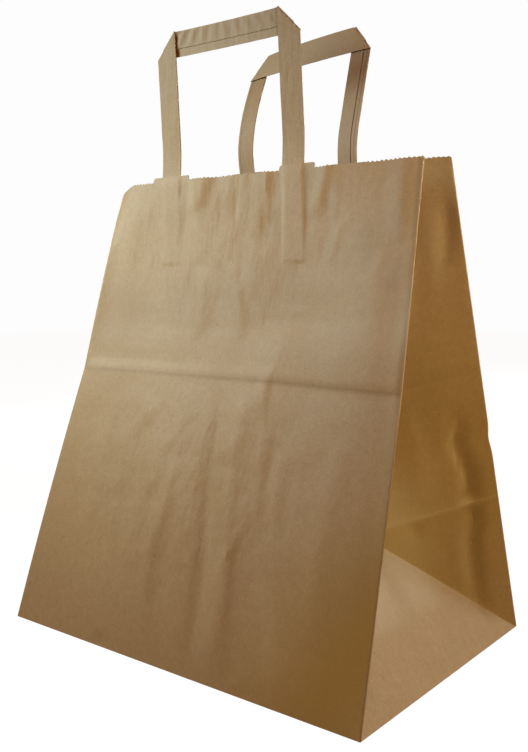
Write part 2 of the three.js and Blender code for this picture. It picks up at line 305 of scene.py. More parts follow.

# %% [markdown]
# ## Creases and dents placed by hand
#
# Paper keeps a mark of whatever pressed on it. The handle legs stand out through the panel that
# they are glued behind, the folded-up bottom left a line across the front, and handling left long
# soft wrinkles. Each mark is a line on the flat sheet with a width, and with a height, a tone or
# both. Near its line the sheet is pushed along its normal, or made darker or paler. Most tones are
# painted shade and painted highlights on the flanks and edges of the marks. Sculpting would do
# too, but a list of lines can be read, moved and made again.

# %% How a mark falls off beside its line
def mark(u, v, line, width, sharp):
    """One on a line of the flat sheet, falling to nothing beside it and at its ends."""
    nearest = np.full(u.shape, np.inf)
    along = np.zeros(u.shape)
    done = 0.0
    for (u0, v0), (u1, v1) in zip(line, line[1:]):
        length = math.hypot(u1 - u0, v1 - v0)
        t = np.clip(((u - u0) * (u1 - u0) + (v - v0) * (v1 - v0)) / length ** 2, 0, 1)
        distance = np.hypot(u - u0 - t * (u1 - u0), v - v0 - t * (v1 - v0))
        along = np.where(distance < nearest, done + t * length, along)
        nearest = np.minimum(nearest, distance)
        done += length
    fade = np.sqrt(np.sin(np.pi * np.clip(along / done, 0, 1)))
    profile = np.clip(1 - nearest / width, 0, 1) if sharp else np.exp(-((nearest / width) ** 2))
    return fade * profile


def soft_wrinkle(width, height, *line, tone=0.0):
    """A rounded ridge, or a valley where its height is below zero."""
    return line, width, height, False, tone


def sharp_crease(width, height, *line, tone=0.0):
    """A ridge or a valley with a sharp edge."""
    return line, width, height, True, tone


def shade(width, tone, *line, sharp=False):
    """A tone without relief: darker above zero, paler below it, mostly painted shade and highlight."""
    return line, width, 0.0, sharp, tone


def marked(u, v, marks):
    """Height and darkness of the sheet under a list of marks."""
    heights, tones = np.zeros(u.shape), np.zeros(u.shape)
    for line, width, height, sharp, tone in marks:
        profile = mark(u, v, line, width, sharp)
        heights += height * profile
        tones += tone * profile
    return heights, tones


beside = np.array((0.0, 2.0, 4.0))
print("a crease 4 mm wide, seen from 0, 2 and 4 mm:",
      mark(beside, 0 * beside, ((0, -10), (0, 10)), 4.0, True).round(2))

# %% Legs that show through the panels
STRIP_WIDTH, STRIP = 19.5, 0.6
FRONT_LOOP_WIDTH, FRONT_LOOP_CENTRE = 141.0, -15.0
REAR_LOOP_WIDTH, REAR_LOOP_CENTRE = 137.0, -2.0
FRONT_LEG_TILT = 7.0
FRONT_EMBOSS, REAR_EMBOSS = (0.4, 0.6), (0.5, 0.5)
EMBOSS_EDGE, FOOT_EDGE = 0.9, 1.2
EDGE_RIM = 1.2


def leg_places(centre, width):
    return centre - (width - STRIP_WIDTH) / 2, centre + (width - STRIP_WIDTH) / 2


def leg_shift(v):
    """How far the glued legs of the front handle run sideways below the mouth."""
    return FRONT_LEG_TILT * np.clip((SHEET_HEIGHT - v) / (SHEET_HEIGHT - LEG_FOOT), 0, 1)


def embossed(x, v, legs, shift, heights=(1, 1)):
    """The outline of the glued legs, which shows through the panel."""
    raised = 0
    for place, height in zip(legs, heights):
        aside = np.abs(x - place - shift)
        edge = STRIP_WIDTH / 2
        over = 1 - smooth(edge - EMBOSS_EDGE, edge + EMBOSS_EDGE, aside)
        raised = raised + height * over * smooth(LEG_FOOT - FOOT_EDGE, LEG_FOOT + FOOT_EDGE, v)
    return raised


front_legs = leg_places(FRONT_LOOP_CENTRE, FRONT_LOOP_WIDTH)
rear_legs = leg_places(REAR_LOOP_CENTRE, REAR_LOOP_WIDTH)
print("middles of the legs in mm:", front_legs, rear_legs)

# %% Marks on the front
# Each has its width, its height or tone, and the places along its line: x, and v up the sheet
FRONT_MARKS = (
    # pressed by the edge of the folded-up bottom, above the fold line
    sharp_crease(24, -0.5, (-168, 243), (-5, 243)),
    sharp_crease(24, -1, (10, 241), (62, 242), (168, 247)),
    sharp_crease(18, -0.6, (25, 242), (85, 243)),
    soft_wrinkle(4, -0.25, (-130, 234), (-20, 235), (94, 240)),
    # wrinkles under the mouth, between the legs
    soft_wrinkle(6.5, 2.7, (-43, 384), (-43, 352), (-44, 328)),
    soft_wrinkle(5.5, 1.6, (-34, 380), (-35, 352), (-38, 332)),
    soft_wrinkle(3.5, 1, (-13, 380), (-13, 350), (-12, 318)),
    soft_wrinkle(3.5, 0.9, (2, 374), (2, 342), (3, 310)),
    soft_wrinkle(4.5, 1.6, (14, 366), (15, 336), (17, 306)),
    soft_wrinkle(4, 2.1, (24, 374), (24, 345), (25, 316)),
    soft_wrinkle(4.5, 0.7, (16, 296), (17, 276), (19, 256)),
    soft_wrinkle(7, 1.3, (-33, 280), (-27, 228)),
    soft_wrinkle(5.5, 1.2, (-4, 284), (6, 256), (15, 228)),
    # crests of two of them, paler
    shade(6, -0.3, (-52, 378), (-51, 344), (-50, 308)),
    shade(2.5, -0.4, (-5, 374), (-5, 348), (-4, 316)),
    # wrinkles to the right of the right leg, two of them sharp creases with a painted highlight
    soft_wrinkle(4.5, 1.8, (79, 374), (75, 344), (69, 318)),
    soft_wrinkle(3, -0.6, (80, 342), (82, 300)),
    soft_wrinkle(3, -0.6, (87, 320), (77, 282)),
    soft_wrinkle(3.5, 0.9, (83, 358), (84, 330), (85, 300), (84, 284)),
    sharp_crease(3, 0.5, (84, 284), (88, 295), (91, 308), (96, 316), (103, 314), tone=-0.2),
    sharp_crease(3, 0.5, (122, 273), (127, 286), (129, 294), tone=-0.2),
    soft_wrinkle(7, 1.1, (139, 366), (138, 335), (142, 298)),
    soft_wrinkle(9, -0.7, (137, 300), (140, 260), (143, 190)),
    # a long wrinkle from the left leg down to the fold line
    soft_wrinkle(3.5, 0.6, (-82, 360), (-78, 320), (-70, 280), (-54, 242), (-44, 202)),
    # edges of the glued legs: a painted highlight on the left, towards the light, and painted shade on the
    # right
    shade(2, -0.2, (-85, 368), (-78, 283), sharp=True),
    shade(3, 0.18, (-66, 372), (-60, 296)),
    shade(2, -0.42, (36, 372), (43, 281), sharp=True),
    shade(2, 0.36, (56, 372), (63, 281), sharp=True),
    # a painted shadow along the right corner fold, paler paper beside it, and painted shade near its top
    shade(2, 0.55, (150, 376), (154, 180), sharp=True),
    shade(4, -0.16, (146, 380), (149, 260), (152, 90)),
    shade(5, 0.14, (144, 356), (145, 330), (146, 306)),
    # wide soft painted shade, darkest towards the lower right corner, and one broad painted highlight
    shade(30, 0.18, (-165, 232), (-60, 252), (76, 270)),
    shade(24, -0.12, (86, 262), (160, 232)),
    shade(8, 0.1, (110, 312), (125, 284)),
    shade(9, 0.12, (147, 286), (137, 262)),
    shade(26, 0.24, (190, 110), (156, 80), (146, 40), (110, -20)),
    # the pinch in the fold line, and the short crease that leads down from it
    sharp_crease(36, 1.7, (60, 254), (54, 226), (50, 204), (45, 193), (33, 178), (28, 140)),
    soft_wrinkle(3.5, 0.8, (47, 208), (45, 194), (48, 172)),
    soft_wrinkle(3.5, 0.2, (49, 180), (52, 150), (52, 128)),
    # long wrinkles of the lower half
    soft_wrinkle(5.5, -1.8, (4, 190), (8, 169), (13, 115), (18, 82), (21, 50), (24, 14)),
    soft_wrinkle(6, 1.1, (28, 186), (31, 160), (31, 117), (40, 86), (42, 54), (43, 14)),
    soft_wrinkle(5, 1.3, (-24, 140), (-25, 108), (-31, 75), (-30, 40)),
    soft_wrinkle(4.5, -1, (62, 160), (62, 124), (71, 94)),
    soft_wrinkle(4.5, -0.9, (79, 148), (83, 94)),
    soft_wrinkle(8, -0.9, (-62, 165), (-66, 100), (-60, 48)),
    soft_wrinkle(9, 0.7, (-104, 180), (-100, 110), (-106, 60)),
    soft_wrinkle(9, 0.9, (118, 165), (112, 100), (118, 40)),
    # a kink in one of them, with a line of painted shade beside it
    sharp_crease(5, 0.7, (49, 122), (47, 100), (40, 81), (44, 64)),
    shade(2.5, 0.06, (54, 118), (52, 100), (45, 81), (49, 68), sharp=True),
    # painted shade and painted highlights on their flanks
    shade(6, 0.15, (50, 96), (50, 54), (53, 2)),
    shade(7, 0.12, (8, 116), (12, 76), (16, 40), (14, 2)),
    shade(7, -0.15, (28, 100), (32, 54), (34, 6)),
    shade(7, -0.18, (70, 74), (84, 45), (90, 12)),
    shade(5, 0.12, (-24, 96), (-24, 60), (-20, 16)),
    # knocks at the bottom edge, one with painted shade in its dent, and a faint line above it
    sharp_crease(3.5, 0.8, (72, 14), (57, 2)),
    soft_wrinkle(4, -1, (-68, 1), (-64, 10), tone=0.2),
    soft_wrinkle(4, -0.2, (-152, 104), (-50, 104)),
)
print("marks on the front:", len(FRONT_MARKS))

# %% Marks on the gussets and the rear
# On a gusset half the first number of a place is measured from the corner fold
GUSSET_MARKS = (
    # the long dent near the corner fold, with painted highlights on its rim and painted shade beside it
    sharp_crease(
        9, -2.6, (25, 182), (26, 150), (21, 126), (22, 106), (20, 92), (25, 74), (26, 31), (28, 12)),
    shade(3.5, -0.55, (23, 172), (29, 154), (28, 144), (24, 130), (26, 116), sharp=True),
    shade(7, 0.3, (18, 176), (19, 150), (14, 128), (15, 104), (17, 92), (22, 74), (23, 31), (26, 8)),
    shade(5, -0.2, (29, 102), (33, 74), (34, 32)),
    shade(3, -0.4, (34, 110), (12, 104), sharp=True),
    # dents under the mouth, with painted shade and a painted highlight there
    soft_wrinkle(5.5, -1.5, (8, 326), (11, 300), (15, 276)),
    shade(5, 0.15, (2, 356), (4, 320), (3, 290)),
    shade(13, -0.2, (18, 330), (20, 296), (24, 262)),
    soft_wrinkle(9, -1.3, (40, 330), (36, 280), (46, 230)),
    # the fold line of the front, which goes on round the gusset, with painted shade in its valley
    sharp_crease(3, 0.8, (-20, 211), (120, 207)),
    sharp_crease(3, -0.7, (-20, 203), (120, 199), tone=0.1),
    # wider dents near the centre crease, painted shade in and beside them, a broad painted highlight by the
    # apex
    soft_wrinkle(8, 1.2, (62, 190), (56, 150), (62, 116)),
    soft_wrinkle(4.5, -1.4, (70, 106), (62, 90), tone=0.1),
    shade(26, 0.15, (52, 250), (48, 190), (40, 140)),
    shade(27, -0.6, (107, 150), (84, 108), (80, 84), (80, 40)),
    # the folds over the base triangle, worn pale and given a painted highlight
    shade(1.8, -0.3, (-20, 107), (120, 107), sharp=True),
    shade(1.2, -0.25, (2, 2), (106, 106), sharp=True),
)
REAR_MARKS = (
    # the fold line, with painted shade in its valley
    sharp_crease(2, -0.7, (-150, 202), (150, 199), tone=0.4),
    soft_wrinkle(5, 0.9, (-150, 211), (150, 209)),
    # wrinkles under the mouth
    soft_wrinkle(5, -1.5, (40, 372), (44, 330), (52, 250)),
    soft_wrinkle(5, -1.2, (0, 372), (-6, 330), (-2, 290)),
    soft_wrinkle(5, 1.2, (-34, 372), (-30, 330), (-36, 290)),
    # wrinkles of the lower half
    soft_wrinkle(7, -1.4, (-60, 190), (-40, 120), (-44, 60)),
    soft_wrinkle(8, 1.2, (20, 195), (28, 130), (16, 50)),
    soft_wrinkle(8, 1.2, (90, 180), (70, 90)),
    soft_wrinkle(8, -1.1, (-110, 160), (-100, 80)),
)
SEAM_X, SEAM_STEP = -118.0, 0.45
print("marks:", len(GUSSET_MARKS), "on a gusset half,", len(REAR_MARKS), "on the rear")

# %% The fold line across the front, and all relief together
CREASE_LIFT, CREASE_EASE = 0.7, 40.0
CREASE_TWIST = (-110.0, 90.0)  # x where the facet starts to twist, and where it has turned
DARK_FACET = (-3.0, 4.0)  # lower and upper edge of the facet that looks down, about the line
# painted shade on the fold line, deeper where the facet looks down; a painted highlight where it looks up
LINE_HALF_WIDTH, LINE_SHADE, TWIST_SHADE = 2.5, 0.2, 0.12
CREASE_HIGHLIGHT = 0.2


def flap_crease(x, v):
    """The line that the folded-up bottom pressed across the front, a narrow facet with a twist.

    On the left the facet looks up and is light, and on the right it looks down and is dark. Its
    tones paint shade along the line, deeper on the right, and a highlight on the facet on the left.
    """
    line, top = CREASE_HEIGHT, CREASE_HEIGHT + CREASE_BAND
    facet_low, facet_high = (line + edge for edge in DARK_FACET)
    looks_up = np.interp(v, (line - CREASE_EASE, line, top), (0, 1, 0))
    looks_down = np.interp(v, (facet_low, facet_high, facet_high + CREASE_EASE), (0, 1, 0))
    twist = smooth(*CREASE_TWIST, x)
    dark = np.clip(1 - np.abs(v - line) / LINE_HALF_WIDTH, 0, 1) * (LINE_SHADE + TWIST_SHADE * twist)
    from_middle = np.abs(v - (line + top) / 2)
    pale = CREASE_HIGHLIGHT * np.interp(from_middle, (CREASE_BAND / 6, CREASE_BAND / 2), (1, 0))
    return CREASE_LIFT * (looks_up * (1 - twist) + looks_down * twist), dark - pale * (1 - twist)


def front_relief(x, v):
    heights, tones = marked(x, v, FRONT_MARKS)
    crease, crease_tones = flap_crease(x, v)
    legs = embossed(x, v, front_legs, leg_shift(v), FRONT_EMBOSS)
    return heights + crease + legs, tones + crease_tones


def rear_relief(x, v):
    heights, tones = marked(x, v, REAR_MARKS)
    legs = embossed(x, v, rear_legs, 0, REAR_EMBOSS)
    return heights + legs + SEAM_STEP * (x < SEAM_X), tones


def gusset_relief(u, v):
    return marked(u, v, GUSSET_MARKS)


at_line = flap_crease(np.array(0.0), np.array(CREASE_HEIGHT))
print("fold line in its middle: height and tone", [round(float(value), 2) for value in at_line])

# %% [markdown]
# ## One grid from panel to panel
#
# The sheet becomes a grid of small faces. Its columns are set close together beside folds, seams
# and handle legs, where the paper bends sharply, and one tooth pitch apart elsewhere. In the lower
# gusset the cells are square on the flat sheet, so the fold at 45 degrees runs through their
# corners.

# %% Columns and rows of the grid
TOOTH_PITCH, TOOTH_DEPTH = 3.5, 1.0
TAB_WIDTH, TAB_RISE, TAB_BEVEL = 39.0, 3.5, EDGE_RIM
VALLEY = SHEET_HEIGHT - TOOTH_DEPTH
FOLD_RIM, SEAM_RIM = 1.5, 0.2  # how close the first row or column lies to a fold or a seam
GUSSET_CELLS = round(half_depth / TOOTH_PITCH)


def filled(knots, step=TOOTH_PITCH):
    """The knots with even steps between them."""
    knots = sorted({round(float(knot), 3) for knot in knots})
    values = [knots[0]]
    for low, high in zip(knots, knots[1:]):
        count = max(1, round((high - low) / step))
        values.extend(low + (high - low) * (i + 1) / count for i in range(count))
    return np.array(values)


row_heights = np.concatenate((
    np.linspace(0, half_depth, GUSSET_CELLS + 1)[:-1],
    filled((
        half_depth, half_depth + FOLD_RIM, VALLEY,
        *(CREASE_HEIGHT + step * FOLD_RIM for step in (-2, -1, 0, 1)),
        CREASE_HEIGHT + CREASE_BAND - 2 * FOLD_RIM, CREASE_HEIGHT + CREASE_BAND,
        *(LEG_FOOT + side * rim for side in (-1, 1) for rim in (FOOT_EDGE, FOOT_EDGE + EDGE_RIM)),
    )),
))


def leg_tabs(legs):
    """Where the tabs before a panel's legs start and end."""
    return [(place - TAB_WIDTH / 2, place + TAB_WIDTH / 2) for place in legs]


front_tabs, rear_tabs = leg_tabs(front_legs), leg_tabs(rear_legs)
# The front's right tab starts at the edge of its leg
leg_edge = front_legs[1] - STRIP_WIDTH / 2
front_tabs[1] = (leg_edge - EMBOSS_EDGE - EDGE_RIM, front_tabs[1][1])


def panel_knots(edge_left, edge_right, legs, tabs, extra=()):
    """Places across a panel at the mouth where the grid needs a column."""
    knots = [edge_left, edge_right, *extra]
    for low, high in tabs:
        knots += [low, low + TAB_BEVEL, high - TAB_BEVEL, high]
    for place in legs:
        for rim in (-EMBOSS_EDGE - EDGE_RIM, -EMBOSS_EDGE, EMBOSS_EDGE, EMBOSS_EDGE + EDGE_RIM):
            offset = STRIP_WIDTH / 2 + rim
            knots += [place - offset, place + offset]
    return filled(knots)


front_left_x = corner_bend(np.array(1.0), mouth)[0]
front_columns = panel_knots(
    front_left_x, right_x(mouth), front_legs, front_tabs, (right_x(mouth) - FOLD_RIM,))
rear_columns = panel_knots(
    left_x(mouth), right_x(mouth), rear_legs, rear_tabs, (SEAM_X - SEAM_RIM, SEAM_X + SEAM_RIM))
print("columns:", len(front_columns), "front,", len(rear_columns), "rear; rows:", len(row_heights))


# %% The panels and gussets as functions of share and height
BEND_STEPS, BEND_TURN = 12, math.radians(130)


def front_x(share, v):
    start = corner_bend(np.ones_like(v), v)[..., 0]
    x = start + (right_x(v) - start) * share
    middle = np.sqrt(np.sin(np.pi * np.clip(share, 0, 1)))
    fade = smooth(CREASE_HEIGHT, LEG_FOOT, v)
    return x + leg_shift(v) * middle * fade


def rear_x(share, v):
    return rear_right_x(v) + (left_x(v) - rear_right_x(v)) * share


def bend_zero(v):
    return corner_bend(np.zeros_like(v), v)


front_half_right = gusset_half(front_right_return, crease_right)
rear_half_right = gusset_half(rear_right_return, crease_right)
rear_half_left = gusset_half(rear_left_return, crease_left)
front_half_left = gusset_half(bend_zero, crease_left)
even = np.linspace(0, 1, GUSSET_CELLS + 1)
turns = np.linspace(0, BEND_TURN, BEND_STEPS + 1)
bend_shares = np.sin(turns) / (np.sin(turns) + np.sin(BEND_TURN - turns))
print("cells across a gusset half:", GUSSET_CELLS, "and steps of the soft corner:", BEND_STEPS)


def gusset_distance(share, v):
    """How far a point of a gusset half is from the nearest fold line, on the flat sheet."""
    u = share * half_depth
    diagonal = np.abs(u - v) / math.sqrt(2)
    low = np.minimum(diagonal, half_depth - v)
    nearest = np.minimum(u, half_depth - u)
    nearest = np.minimum(nearest, np.where(v < half_depth, np.abs(low), v - half_depth))
    return np.minimum(nearest, v)


# %% [markdown]
# ## From functions to a mesh
#
# Each span of the sheet now gives a block of points. The blocks share their border columns, so the
# whole bag is one closed ring of columns, and a flat base closes it below. Five values are kept on
# the points for later: how slack the paper is there, how pale from wear and painted highlight, how
# dark from pressing, dirt and painted shade, how ruffled, and how strong a painted olive tint of
# shade lies on it.

# %% What a span of the sheet holds
WEAR_AND_HIGHLIGHT_HEIGHTS = (120.0, 260.0)
BEND_SLACK = 4.0


def blank(share, v):
    return np.zeros((2, *share.shape))


def nowhere(share, v):
    return np.zeros(share.shape)


def span(shares, at, relief=blank, slack=nowhere, ruffled=nowhere, shade_tint=nowhere, fold=0, tabs=(),
         teeth=True, tab_rise=0.0, wear_and_highlight=0.0, darkened=0.0):
    """A block of the sheet between two folds, with its marks and its distance from the folds."""
    shares = np.asarray(shares, float)
    s, v = np.meshgrid(shares, row_heights)
    heights, tones = relief(s, v)
    # the first column: paler above, as wear and painted highlight, and darker below, as painted shadow
    tones[:, 0] += darkened - (darkened + wear_and_highlight) * smooth(*WEAR_AND_HIGHLIGHT_HEIGHTS, v[:, 0])
    return {
        "shares": shares, "at": at, "points": at(s, v), "fold": fold, "tabs": tabs, "teeth": teeth,
        "heights": heights, "tones": tones, "distance": slack(s, v), "tab_points": {},
        "tab_rise": tab_rise, "ruffled": ruffled(s, v), "shade_tint": shade_tint(s, v),
    }


def panel_distance(share, v):
    """How far a point of a panel is from the nearest fold."""
    return np.minimum(np.minimum(share, 1 - share) * 2 * half_width, v)


def bend_distance(share, v):
    return np.full(share.shape, BEND_SLACK)


print("scuffed pale from", WEAR_AND_HIGHLIGHT_HEIGHTS[0], "mm up, fully from", WEAR_AND_HIGHLIGHT_HEIGHTS[1], "mm")

# %% Where the paper is ruffled, and where it gets a painted olive tint of shade
RUFFLE_REACH, LEG_STIFFNESS = 85.0, 1.5
MOUTH_RUFFLES = (205.0, 320.0)
LOW_RUFFLES, LOW_RUFFLES_END = (15.0, 70.0), (160.0, 200.0)
FRONT_LOW_SHARE, REAR_LOW_SHARE = 0.8, 0.5
SHADE_TINT_LINE, SHADE_TINT_REACH, SHADE_TINT_AMOUNT = ((215, 120), (156, 46), (90, -40)), 46.0, 0.5


def between_legs(x, v, legs, shift):
    """Full in the middle of a panel, and nothing where a stiff leg is glued behind it."""
    middle = sum(legs) / 2
    free = 1 - np.clip(LEG_STIFFNESS * embossed(x, v, legs, shift), 0, 1)
    return np.exp(-(((x - middle) / RUFFLE_REACH) ** 2)) * free


def front_shade_tint(x, v):
    """Where the shaded lower right corner of the front gets a painted olive tint."""
    return SHADE_TINT_AMOUNT * mark(x, v, SHADE_TINT_LINE, SHADE_TINT_REACH, False)


def front_ruffles(x, v):
    """Where the front is rippled: under the mouth, and in the middle of its lower half."""
    lower_half = smooth(*LOW_RUFFLES, v) * (1 - smooth(*LOW_RUFFLES_END, v))
    ruffles = smooth(*MOUTH_RUFFLES, v) + FRONT_LOW_SHARE * lower_half
    return between_legs(x, v, front_legs, leg_shift(v)) * ruffles


def rear_ruffles(x, v):
    ruffles = smooth(*MOUTH_RUFFLES, v) + REAR_LOW_SHARE * smooth(*LOW_RUFFLES, v)
    return between_legs(x, v, rear_legs, 0) * ruffles


print("ruffled in the middle of the mouth:", front_ruffles(np.array(sum(front_legs) / 2), mouth).round(2))

# %% The spans, in order round the bag
REAR_TAB_RISE = 0.6


def gusset_span(half, turned, wear_and_highlight):
    """A gusset half whose shares run from its corner fold, or to it where it is turned."""
    def from_corner(share):
        return 1 - share if turned else share

    return span(
        even, lambda s, v: half(from_corner(s), v),
        relief=lambda s, v: gusset_relief(from_corner(s) * half_depth, v),
        slack=lambda s, v: gusset_distance(from_corner(s), v), fold=-1 if turned else 1, wear_and_highlight=wear_and_highlight,
    )


def fold_span(first, second, wear_and_highlight, darkened=0.0):
    """A corner fold, a narrow edge that is paler above from wear and painted highlight,
    and may be darker below with painted shadow.
    """
    return span(
        (0.0, 1.0), lambda s, v: mix(first(v), second(v), s), teeth=False, wear_and_highlight=wear_and_highlight, darkened=darkened)


front_shares = (front_columns - front_columns[0]) / (front_columns[-1] - front_columns[0])
rear_shares = ((rear_columns[-1] - rear_columns) / (rear_columns[-1] - rear_columns[0]))[::-1]
spans = [
    span(front_shares, lambda s, v: front_panel(front_x(s, v), v),
         lambda s, v: front_relief(front_x(s, v), v), panel_distance,
         lambda s, v: front_ruffles(front_x(s, v), v), lambda s, v: front_shade_tint(front_x(s, v), v),
         tabs=front_tabs, tab_rise=TAB_RISE),
    # front right fold: worn pale with a painted highlight above, painted shadow along it below
    fold_span(front_right, front_right_return, wear_and_highlight=0.35, darkened=0.5),
    gusset_span(front_half_right, turned=False, wear_and_highlight=0.15),
    gusset_span(rear_half_right, turned=True, wear_and_highlight=0.1),
    fold_span(rear_right_return, rear_right, wear_and_highlight=0.1),
    span(rear_shares, lambda s, v: rear_panel(rear_x(s, v), v),
         lambda s, v: rear_relief(rear_x(s, v), v), panel_distance,
         lambda s, v: rear_ruffles(rear_x(s, v), v), tabs=rear_tabs, tab_rise=REAR_TAB_RISE, wear_and_highlight=0.25),
    fold_span(rear_left, rear_left_return, wear_and_highlight=0.5),
    gusset_span(rear_half_left, turned=False, wear_and_highlight=0.2),
    gusset_span(front_half_left, turned=True, wear_and_highlight=0.1),
    span(bend_shares, corner_bend, slack=bend_distance),
]
print("columns round the bag:", sum(len(made["shares"]) - 1 for made in spans))


# %% Push the marks into the sheet
SLACK_REACH, MARK_REACH = 22.0, 5.0  # a fold holds the paper flat this close to it


def joined(key):
    """One block of all the spans, without the column that each shares with the next."""
    return np.concatenate([made[key][:, :-1] for made in spans], 1)


places = joined("points")
distance = joined("distance")
around = np.roll(places, -1, 1) - np.roll(places, 1, 1)
outwards = unit(np.cross(around, np.gradient(places, axis=0)))
pushed = joined("heights") * smooth(0, MARK_REACH, distance)
places = places + outwards * pushed[..., None]
places[0, :, 2] = 0.0
rows, columns = distance.shape
slack = smooth(0, SLACK_REACH, distance)
values = {
    "slack": slack,
    # the pale values hold wear and painted highlights; the dark values hold dirt and painted shade
    "wear_and_highlight": np.clip(-joined("tones"), 0, 1),
    "dirt_and_shade": np.clip(joined("tones"), 0, 1),
    "ruffled": joined("ruffled") * slack,
    "shade_tint": joined("shade_tint"),
}
print("grid:", rows, "rows of", columns, "points; deepest mark in mm:", round(joined("heights").min(), 1))


# %% Faces of the grid, with the fold at 45 degrees
def grid_faces():
    faces = []
    start = 0
    for made in spans:
        cells = len(made["shares"]) - 1
        for j in range(cells):
            left, right_column = start + j, (start + j + 1) % columns
            step_from_corner = j if made["fold"] > 0 else cells - 1 - j
            for i in range(rows - 1):
                a, b = i * columns + left, i * columns + right_column
                d, c = a + columns, b + columns
                on_fold = made["fold"] != 0 and i < GUSSET_CELLS and i == step_from_corner
                if on_fold and made["fold"] > 0:
                    faces += [(a, b, c), (a, c, d)]
                elif on_fold:
                    faces += [(a, b, d), (b, c, d)]
                else:
                    faces.append((a, b, c, d))
        start += cells
    return faces


vertices = list(places.reshape(-1, 3))
faces = grid_faces()
attributes = {name: list(made.reshape(-1)) for name, made in values.items()}
print("faces of the walls:", len(faces))

# %% [markdown]
# ## The cut mouth
#
# A serrated knife cuts the tube of paper into bags, so the mouth has small teeth. In front of each
# handle leg it is cut straight and a little higher, as a tab. The tabs are extra faces here. Each
# tooth is one triangle whose tip still lies flat: the node tree further on pulls all tips up.

# %% Tabs and teeth above the last row
def add_point(place):
    vertices.append(place)
    for made in attributes.values():
        made.append(0.0)
    return len(vertices) - 1


def tab_point(made, share, below):
    """The top of a tab above a column, lower at the tab's ends where its corners are bevelled."""
    if share not in made["tab_points"]:
        x = made["at"](np.array(share), mouth)[0]
        inside = max(min(x - low, high - x) for low, high in made["tabs"])
        bevel = min(TAB_BEVEL, made["tab_rise"]) if inside < TAB_BEVEL / 2 else 0.0
        root, top = (made["at"](np.array(share), np.array(v))
                     for v in (VALLEY, SHEET_HEIGHT + made["tab_rise"] - bevel))
        made["tab_points"][share] = add_point(vertices[below] + top - root)
    return made["tab_points"][share]


tips = {}
start = 0
for made in spans:
    for j, shares in enumerate(zip(made["shares"], made["shares"][1:])):
        a = (rows - 1) * columns + start + j
        b = (rows - 1) * columns + (start + j + 1) % columns
        middle = made["at"](np.array(sum(shares) / 2), mouth)
        if any(low < middle[0] < high for low, high in made["tabs"]):
            faces.append((a, b, tab_point(made, shares[1], b), tab_point(made, shares[0], a)))
        elif made["teeth"]:
            tip = add_point((vertices[a] + vertices[b]) / 2)
            tips[tip] = middle - made["at"](np.array(sum(shares) / 2), np.array(VALLEY))
            faces.append((a, b, tip))
    start += len(made["shares"]) - 1
print("teeth:", len(tips), "points:", len(vertices))

# %% Close the bottom
BOTTOM_PLIES = 0.7
BOTTOM_ROUND = 1.5
shrink = np.array((1 - BOTTOM_ROUND / half_width, 1 - BOTTOM_ROUND / half_depth, 0))
base_ring = [add_point(vertices[i] * shrink + (0, 0, BOTTOM_PLIES)) for i in range(columns)]
for i in range(columns):
    following = (i + 1) % columns
    faces.append((following, i, base_ring[i], base_ring[following]))
faces.append(tuple(base_ring[::-1]))
print("the base lies", BOTTOM_PLIES, "mm above the floor, on its flaps")


# %% Make the sheet an object
def new_object(name, points, polygons):
    mesh = bpy.data.meshes.new(name)
    mesh.from_pydata((np.asarray(points) * MM).tolist(), [], polygons)
    made = bpy.data.objects.new(name, mesh)
    bpy.context.scene.collection.objects.link(made)
    return made


def add_values(piece, name, numbers):
    piece.data.attributes.new(name, "FLOAT", "POINT").data.foreach_set("value", np.asarray(numbers, float))


def add_vectors(piece, name, vectors):
    attribute = piece.data.attributes.new(name, "FLOAT_VECTOR", "POINT")
    attribute.data.foreach_set("vector", np.asarray(vectors, float).ravel())


folded_sheet = new_object("folded_sheet", vertices, faces)
for name, numbers in attributes.items():
    add_values(folded_sheet, name, numbers)
tooth_up = np.zeros((len(vertices), 3))
for tip, upwards in tips.items():
    tooth_up[tip] = upwards * MM
add_vectors(folded_sheet, "tooth_up", tooth_up)
print("sheet faces:", len(folded_sheet.data.polygons))

# %% [markdown]
# ## Kraft paper
#
# Kraft paper is pressed from unbleached wood pulp. Up close it is cloudy, because the fibres do
# not spread evenly, with a faint grain along the machine's running direction and a few dark
# specks. All of this is drawn by noise. The paper is nearly matt, with a soft sheen from the
# calender rolls. Folds are scuffed paler, and pressed lines collect dirt. The values that were
# kept on the points give these, and also painted highlights, painted shade beside creases,
# wrinkles and seams, and a painted olive tint of shade on the front's lower right corner.

# %% Helpers for colours and nodes
def linear(hex_colour):
    """An sRGB hex colour as the linear values that a shader takes."""
    parts = [int(hex_colour[i:i + 2], 16) / 255 for i in (1, 3, 5)]
    return (*(c / 12.92 if c <= 0.04045 else ((c + 0.055) / 1.055) ** 2.4 for c in parts), 1.0)


def add_node(tree, kind, inputs=None, **settings):
    """Adds a node, sets its properties, and fills or links its sockets."""
    made = tree.nodes.new(kind)
    for name, value in settings.items():
        setattr(made, name, value)
    for socket, value in (inputs or {}).items():
        if isinstance(value, bpy.types.NodeSocket):
            tree.links.new(value, made.inputs[socket])
        else:
            made.inputs[socket].default_value = value
    return made


print("kraft brown in linear values:", [round(c, 3) for c in linear("#a98b62")])

# %% Kraft paper
CLOUD_MM, FORMATION_MM, SPECK_MM = 60.0, 5.0, 3.0
GRAIN_MM = (1.6, 1.6, 28.0)
FIBRE_MM = 1.2  # coarser than real fibres, which are too thin to show
CRINKLE_MM = (4.5, 4.5, 20.0)
FORMATION_SHARE, GRAIN_SHARE, FIBRE_SHARE = 0.6, 0.25, 0.45
PULP_STOPS = (0.35, 0.5, 0.65)
SPECK_LIMITS, SPECK_AMOUNT = (0.70, 0.80), 0.3
FIBRE_BUMP, FIBRE_BUMP_MM = 0.35, 0.2
CRINKLE_BUMP, CRINKLE_BUMP_MM = (0.14, 0.7), 0.8  # on smooth paper, and on ruffled paper
PAPER_SHEEN = 0.25
# the colour of the painted olive tint of shade
SHADE_TINT_COLOUR = "#b38500"


